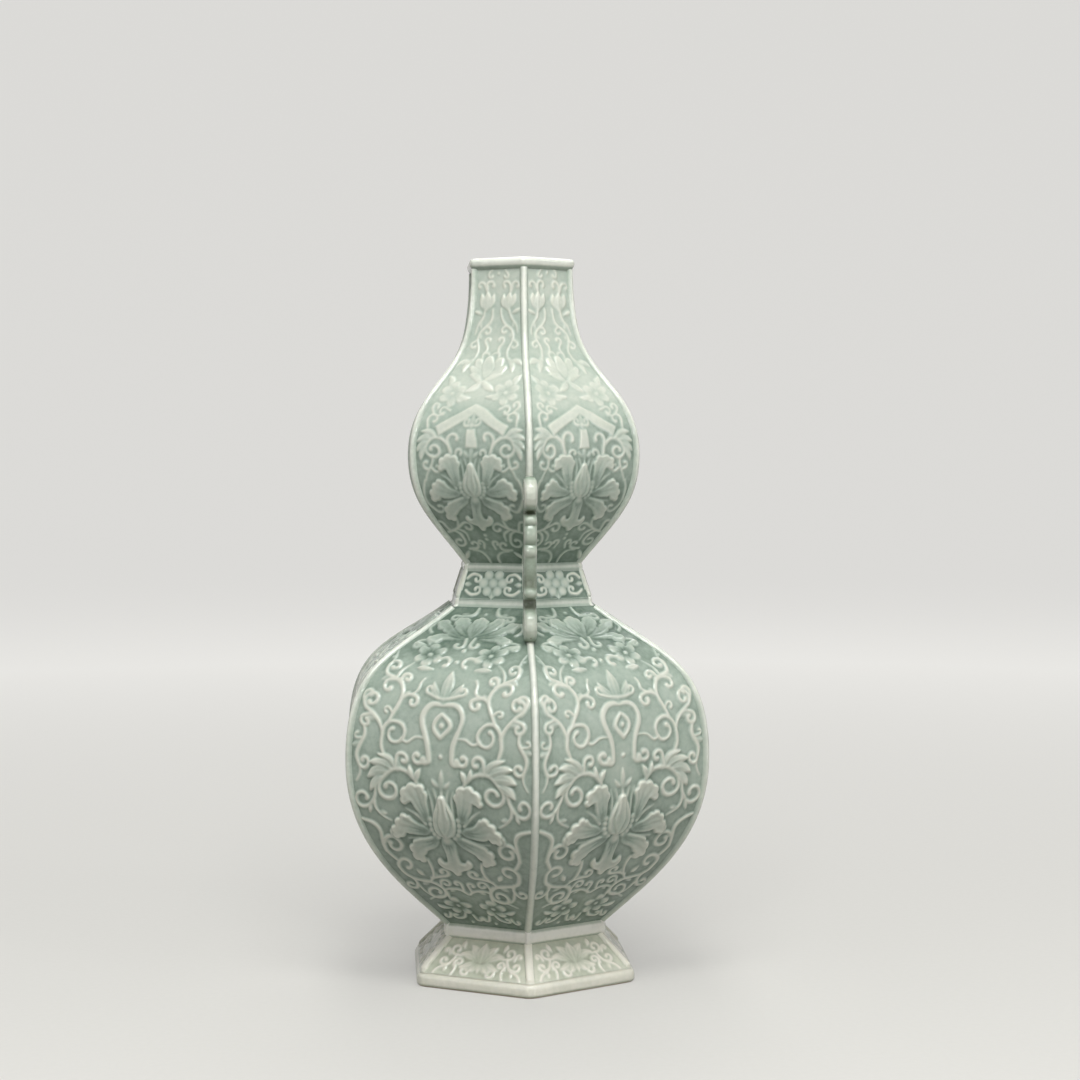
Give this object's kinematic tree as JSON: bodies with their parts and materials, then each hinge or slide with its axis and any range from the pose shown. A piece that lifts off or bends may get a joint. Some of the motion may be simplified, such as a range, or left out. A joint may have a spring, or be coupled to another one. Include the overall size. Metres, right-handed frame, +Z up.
{
  "type": "gourd vase",
  "caption": "Hexagonal double-gourd porcelain vase with carved celadon panels, raised corner ribs, a waist collar, a flared foot and scrolled strap handles beside the waist.",
  "frame": {"origin": "on the table, under the vase's axis", "axes": "+Z up along the axis; -Y towards the front corner with its handle, as pictured; +X to the right"},
  "size_m": [0.1868, 0.2154, 0.3803],
  "materials": {
    "celadon_glaze": "pooled green glaze over carved porcelain, glossy",
    "thin_glaze": "same glaze drawn thin and pale over raised edges, glossy"
  },
  "bodies": {
    "root": {"foot_ring": "celadon_glaze", "foot_band": "thin_glaze", "floor_slab": "celadon_glaze", "lower_panel_right": "celadon_glaze", "lower_panel_rear_right": "celadon_glaze", "lower_panel_rear_left": "celadon_glaze", "lower_panel_left": "celadon_glaze", "lower_panel_front_left": "celadon_glaze", "lower_panel_front_right": "celadon_glaze", "upper_panel_right": "celadon_glaze", "upper_panel_rear_right": "celadon_glaze", "upper_panel_rear_left": "celadon_glaze", "upper_panel_left": "celadon_glaze", "upper_panel_front_left": "celadon_glaze", "upper_panel_front_right": "celadon_glaze", "lower_rib_rear_right": "thin_glaze", "lower_rib_rear": "thin_glaze", "lower_rib_rear_left": "thin_glaze", "lower_rib_front_left": "thin_glaze", "lower_rib_front": "thin_glaze", "lower_rib_front_right": "thin_glaze", "upper_rib_rear_right": "thin_glaze", "upper_rib_rear": "thin_glaze", "upper_rib_rear_left": "thin_glaze", "upper_rib_front_left": "thin_glaze", "upper_rib_front": "thin_glaze", "upper_rib_front_right": "thin_glaze", "waist_fillet_lower": "thin_glaze", "waist_collar": "celadon_glaze", "waist_fillet_upper": "thin_glaze", "lip_ring": "thin_glaze", "handle_front": "thin_glaze", "handle_rear": "thin_glaze"}
  },
  "joints": []
}
